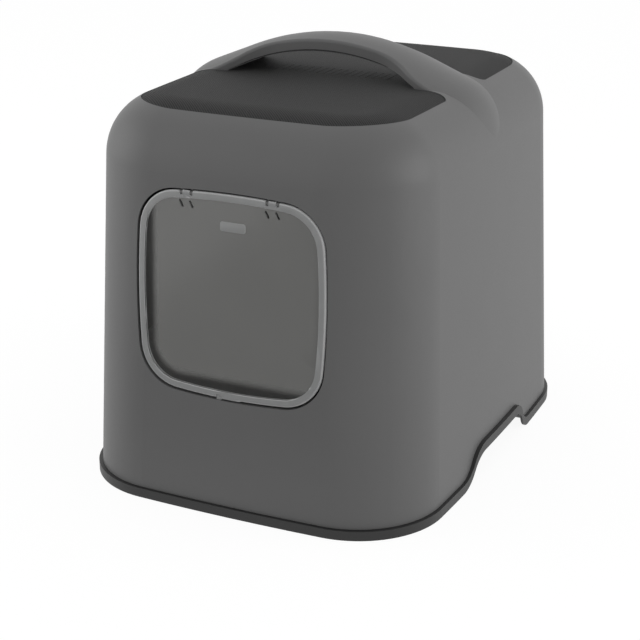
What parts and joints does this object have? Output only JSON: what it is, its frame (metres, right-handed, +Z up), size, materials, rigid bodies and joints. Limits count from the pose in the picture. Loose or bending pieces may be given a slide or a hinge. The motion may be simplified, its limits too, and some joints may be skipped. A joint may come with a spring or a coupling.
{
  "type": "hooded litter box",
  "caption": "Hooded pet litter box: a drafted hood with an arch handle and a swing flap in its front wall lifts off a deep tray whose skirt has raised hand notches.",
  "frame": {"origin": "centre of the footprint, on the floor", "axes": "+Z up, the flap faces -Y, +X to the right seen from the front"},
  "size_m": [0.395, 0.51, 0.443],
  "materials": {
    "hood_plastic": "satin grey",
    "tray_plastic": "satin anthracite",
    "insert_plastic": "fine mesh texture",
    "frosted_plastic": "frosted",
    "clear_plastic": "clear, smoke tint",
    "lock_plastic": "satin light grey",
    "pin_plastic": "satin",
    "filter_felt": "carbon felt"
  },
  "bodies": {
    "tray": {"base_tray": "tray_plastic"},
    "hood": {"hood_shell": "hood_plastic", "top_cover": "insert_plastic", "handle_grip": "insert_plastic", "door_frame": "tray_plastic", "hinge_pin_left": "pin_plastic", "hinge_pin_right": "pin_plastic", "filter_frame": "tray_plastic"},
    "flap": {"flap_rim": "frosted_plastic", "flap_panel": "clear_plastic"},
    "flap_lock": {"flap_lock": "lock_plastic"},
    "filter_door": {"filter_tray": "tray_plastic", "carbon_filter": "filter_felt"}
  },
  "joints": [
    {"name": "hood_lift", "type": "slide", "parent": "tray", "child": "hood", "axis": [0, 0, 1], "range_m": [0, 0.13]},
    {"name": "flap_swing", "type": "hinge", "parent": "hood", "child": "flap", "pos_m": [0, -0.23603, 0.3265], "axis": [1, 0, 0], "range_deg": [-70, 70]},
    {"name": "flap_lock_slide", "type": "slide", "parent": "hood", "child": "flap_lock", "axis": [1, 0, 0], "range_m": [0, 0.009]},
    {"name": "filter_tray_swing", "type": "hinge", "parent": "hood", "child": "filter_door", "pos_m": [0, 0.0586, 0.386], "axis": [1, 0, 0], "range_deg": [0, 80]}
  ]
}
